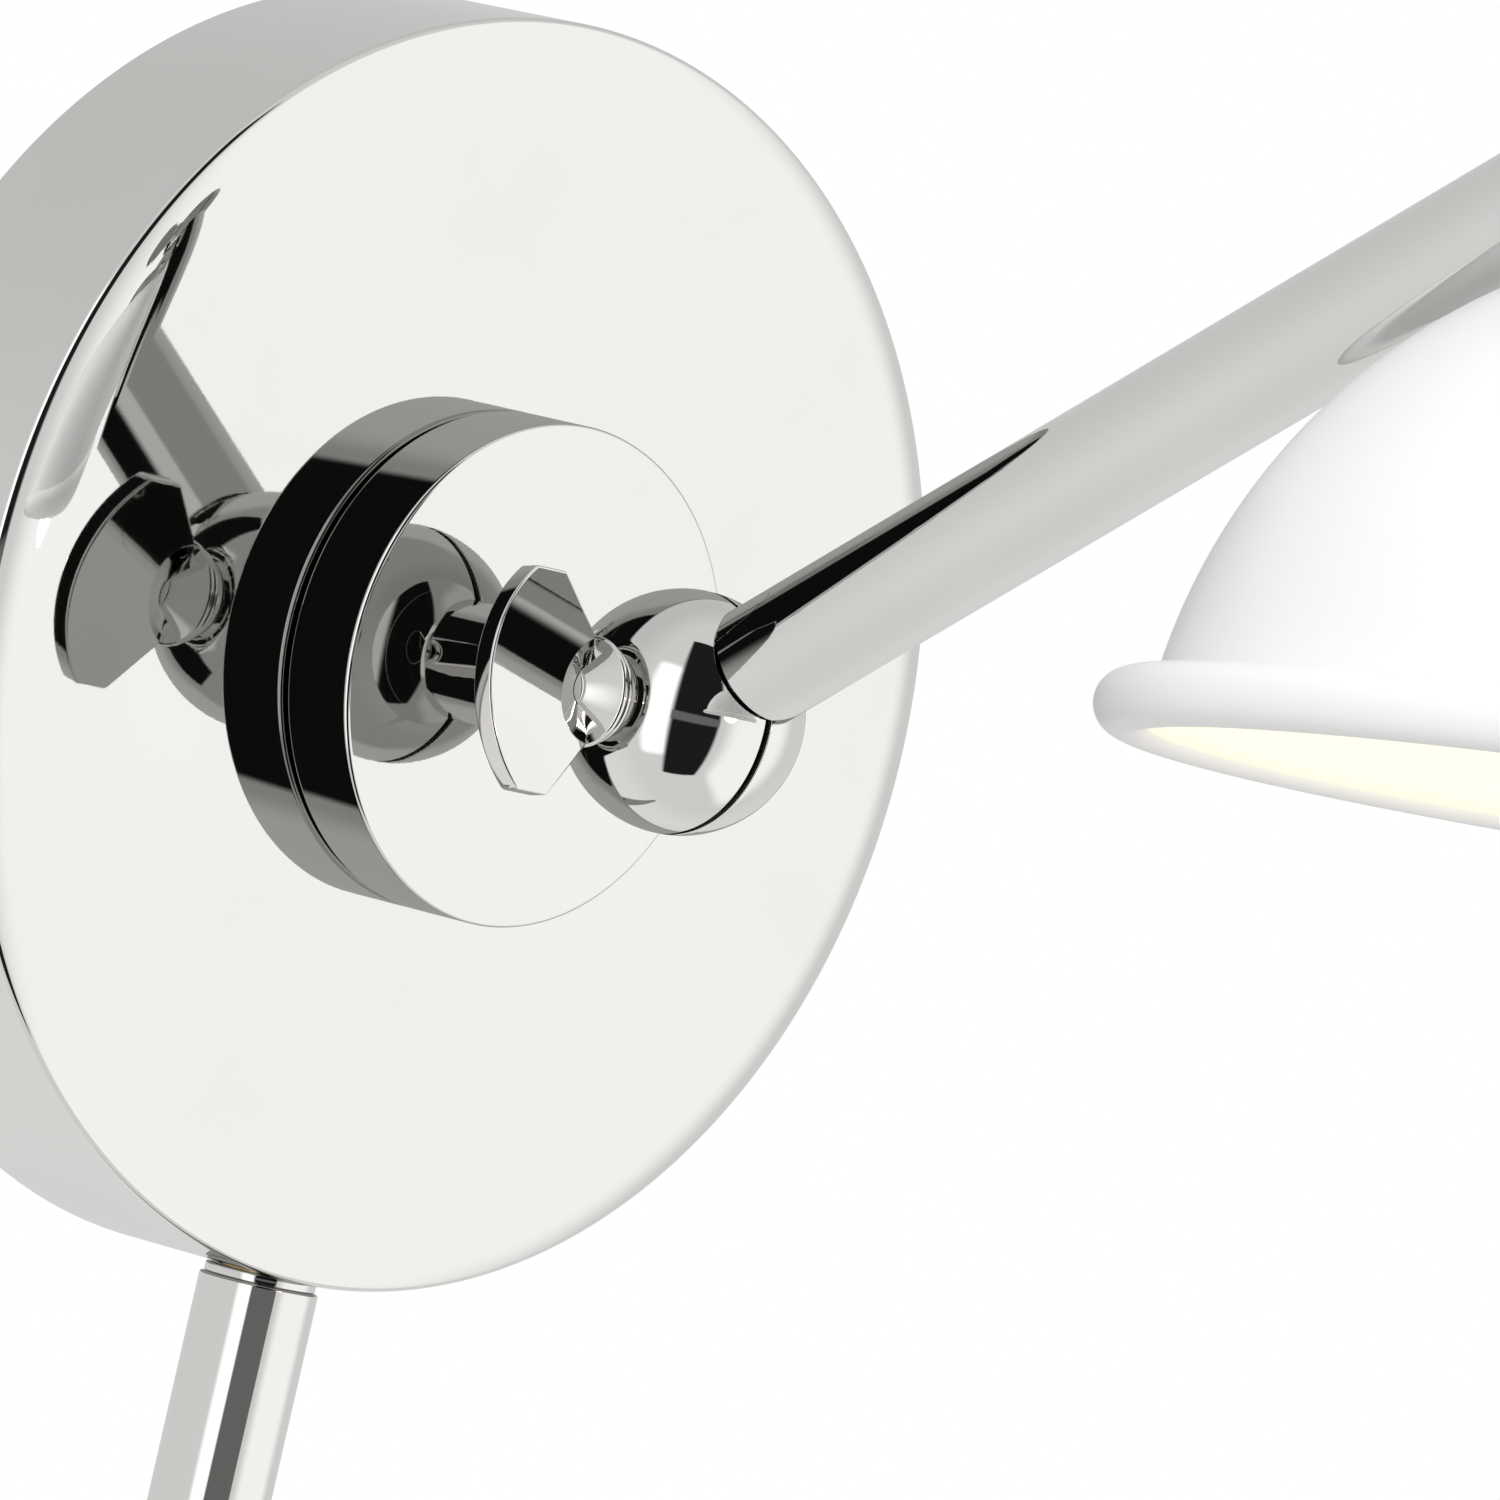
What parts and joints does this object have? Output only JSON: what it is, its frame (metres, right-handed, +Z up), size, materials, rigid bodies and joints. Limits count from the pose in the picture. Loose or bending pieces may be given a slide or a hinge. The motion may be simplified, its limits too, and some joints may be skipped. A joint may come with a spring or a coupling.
{
  "type": "swing arm wall sconce",
  "caption": "Wall lamp with a round backplate, a turning hub, a tubular arm on two split-ball knuckles with wing screws, and a small domed shade.",
  "frame": {"origin": "centre of the backplate in the wall plane, midway between the two slots of the mounting bracket", "axes": "+Y into the wall, so the lamp stands out along -Y; +Z up; +X to the right of someone who faces the wall"},
  "size_m": [0.131, 0.2563, 0.4672],
  "materials": {
    "polished_nickel": "mirror polish",
    "zinc_steel": "zinc plated, dull",
    "spring_steel": "oiled",
    "green_screw": "dyed green",
    "white_nylon": "moulded",
    "black_fibre": "pressed fibre",
    "brass": "turned",
    "white_porcelain": "glazed",
    "white_enamel": "satin powder coat outside, cream inside",
    "bulb_metal": "rolled",
    "opal_glass": "opal"
  },
  "bodies": {
    "wall_side": {"backplate": "polished_nickel", "mounting_bracket": "zinc_steel", "canopy_screws": "polished_nickel", "earth_screw": "green_screw", "hub_bush": "white_nylon", "stop_plate": "zinc_steel", "tube_spacer": "polished_nickel", "tube_nipple": "brass", "tube_nut": "brass", "tube_insert": "brass", "cord_tube": "polished_nickel", "tube_bush": "polished_nickel"},
    "hub": {"hub_spring_washer": "spring_steel", "stop_washer": "zinc_steel", "hub_locknut": "brass", "hub_nipple": "brass", "hub_disc": "polished_nickel", "stem": "polished_nickel", "wall_ball_stem_half": "polished_nickel", "wall_friction_disc": "black_fibre"},
    "wall_wing": {"wall_wing_screw": "polished_nickel"},
    "arm": {"wall_ball_arm_half": "polished_nickel", "arm_tube": "polished_nickel", "outer_ball_arm_half": "polished_nickel"},
    "outer_wing": {"outer_wing_screw": "polished_nickel"},
    "head": {"outer_ball_head_half": "polished_nickel", "outer_friction_disc": "black_fibre", "socket_cap": "polished_nickel", "cap_nut": "brass", "lampholder": "white_porcelain", "lamp_shell": "brass", "lamp_contact": "brass", "shade": "white_enamel", "shade_ring": "white_nylon", "bulb_base": "bulb_metal", "bulb_glass": "opal_glass"}
  },
  "joints": [
    {"name": "hub_swivel", "type": "hinge", "parent": "wall_side", "child": "hub", "pos_m": [0, 0, 0], "axis": [0, 1, 0], "range_deg": [-90, 90]},
    {"name": "arm_tilt", "type": "hinge", "parent": "hub", "child": "arm", "pos_m": [0, -0.055, 0], "axis": [1, 0, 0], "range_deg": [-45, 90]},
    {"name": "wall_wing_turn", "type": "hinge", "parent": "hub", "child": "wall_wing", "pos_m": [0, -0.055, 0], "axis": [-1, 0, 0], "range_deg": [0, 180]},
    {"name": "head_tilt", "type": "hinge", "parent": "arm", "child": "head", "pos_m": [0, -0.18666, 0.08914], "axis": [1, 0, 0], "range_deg": [-115, 8]},
    {"name": "outer_wing_turn", "type": "hinge", "parent": "head", "child": "outer_wing", "pos_m": [0, -0.18666, 0.08914], "axis": [-1, 0, 0], "range_deg": [0, 180]}
  ]
}
